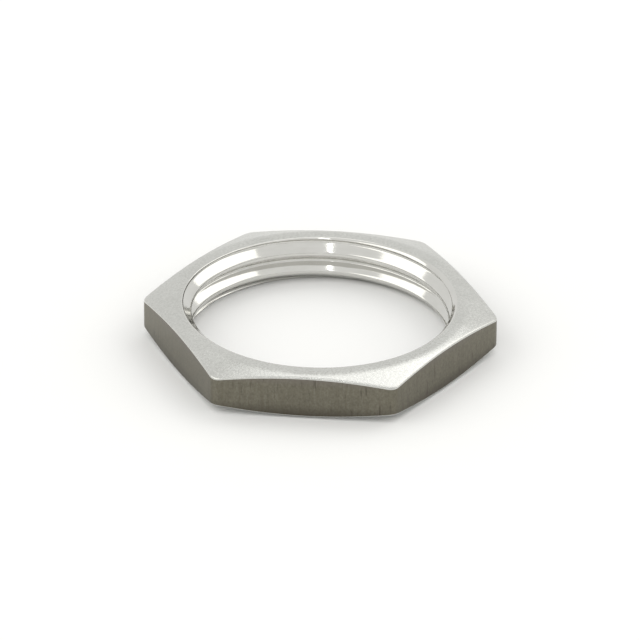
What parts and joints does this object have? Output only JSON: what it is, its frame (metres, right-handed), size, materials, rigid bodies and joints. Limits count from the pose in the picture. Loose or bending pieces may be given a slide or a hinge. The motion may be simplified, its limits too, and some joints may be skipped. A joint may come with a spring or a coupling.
{
  "type": "cable gland locknut",
  "caption": "Thin hexagonal metal locknut with a fine internal thread that clamps a cable gland to a panel wall.",
  "frame": {"origin": "centre of the lower bearing face, on the thread axis", "axes": "+Z along the thread axis; one wrench flat faces -Y, so two corners lie on the X axis"},
  "size_m": [0.024, 0.021, 0.0032],
  "materials": {
    "steel": "satin, fine tumbled and turned marks"
  },
  "bodies": {
    "root": {"locknut": "steel"}
  },
  "joints": []
}
